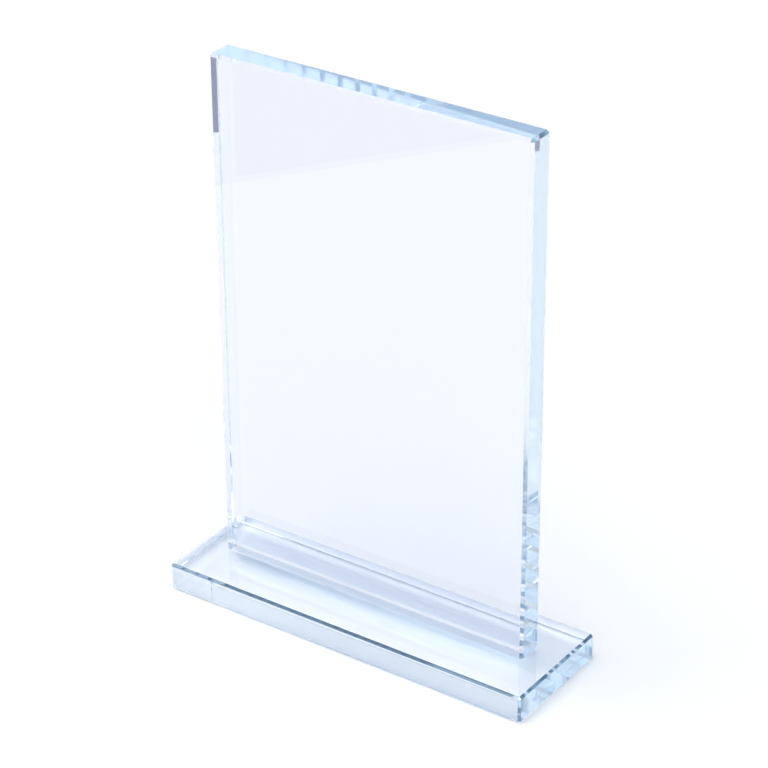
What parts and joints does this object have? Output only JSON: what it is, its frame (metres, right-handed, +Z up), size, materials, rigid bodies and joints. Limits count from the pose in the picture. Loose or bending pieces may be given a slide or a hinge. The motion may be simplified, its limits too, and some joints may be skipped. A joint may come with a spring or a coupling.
{
  "type": "crystal award",
  "caption": "Clear glass award: an upright bevelled rectangular plate bonded on a low bevelled glass base, for a dedication.",
  "frame": {"origin": "centre of the base's flat underside, on the surface the award stands on", "axes": "+Z up the plate, +X along the plate's width and the base's length, the plate's broad faces look along -Y (front) and +Y (back)"},
  "size_m": [0.141, 0.045, 0.1926],
  "materials": {
    "plate_glass": "polished",
    "base_glass": "polished",
    "clear_adhesive": "clear cured film"
  },
  "bodies": {
    "root": {"glass_plate": "plate_glass", "glass_base": "base_glass", "adhesive_bond": "clear_adhesive"}
  },
  "joints": []
}
